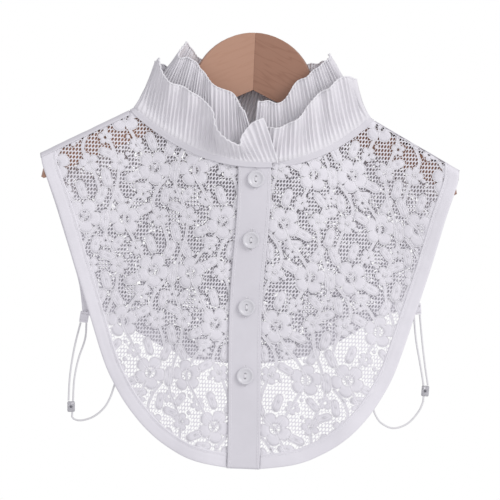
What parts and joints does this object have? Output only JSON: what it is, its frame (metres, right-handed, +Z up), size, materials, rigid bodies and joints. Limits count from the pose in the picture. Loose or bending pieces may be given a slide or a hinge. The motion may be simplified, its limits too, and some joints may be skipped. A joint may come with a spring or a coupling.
{
  "type": "lace false collar on a wooden hanger",
  "caption": "White lace false collar with a double pleated ruffle at the neck, buttoned down the front, on a flat two-board wooden hanger.",
  "frame": {"origin": "top of the hanger's arch, in the middle of its thickness", "axes": "+X to the viewer's right along the hanger, +Y away from the viewer (the buttoned front faces -Y), +Z up"},
  "size_m": [0.3436, 0.0739, 0.36],
  "materials": {
    "lace": "floral lace",
    "cloth": "plain weave with a soft sheen",
    "ruffle": "thin pleated weave",
    "button": "glossy",
    "elastic": "matte",
    "slider": "clear",
    "wood_light": "satin varnish",
    "wood_dark": "satin varnish"
  },
  "bodies": {
    "root": {"back_band": "cloth", "back_panel": "lace", "button_1": "button", "button_2": "button", "button_3": "button", "button_4": "button", "button_stand": "cloth", "front_band_left": "cloth", "front_band_right": "cloth", "front_left": "lace", "front_right": "lace", "hanger_left": "wood_light", "hanger_right": "wood_dark", "neck_binding": "cloth", "placket": "cloth", "ruffle_inner": "ruffle", "ruffle_outer": "ruffle", "shoulder_strip_left": "cloth", "shoulder_strip_right": "cloth", "slider_left": "slider", "slider_right": "slider", "strap_left_back": "elastic", "strap_left_end": "elastic", "strap_left_front": "elastic", "strap_right_back": "elastic", "strap_right_end": "elastic", "strap_right_front": "elastic", "strap_tab_left": "cloth", "strap_tab_right": "cloth"}
  },
  "joints": []
}
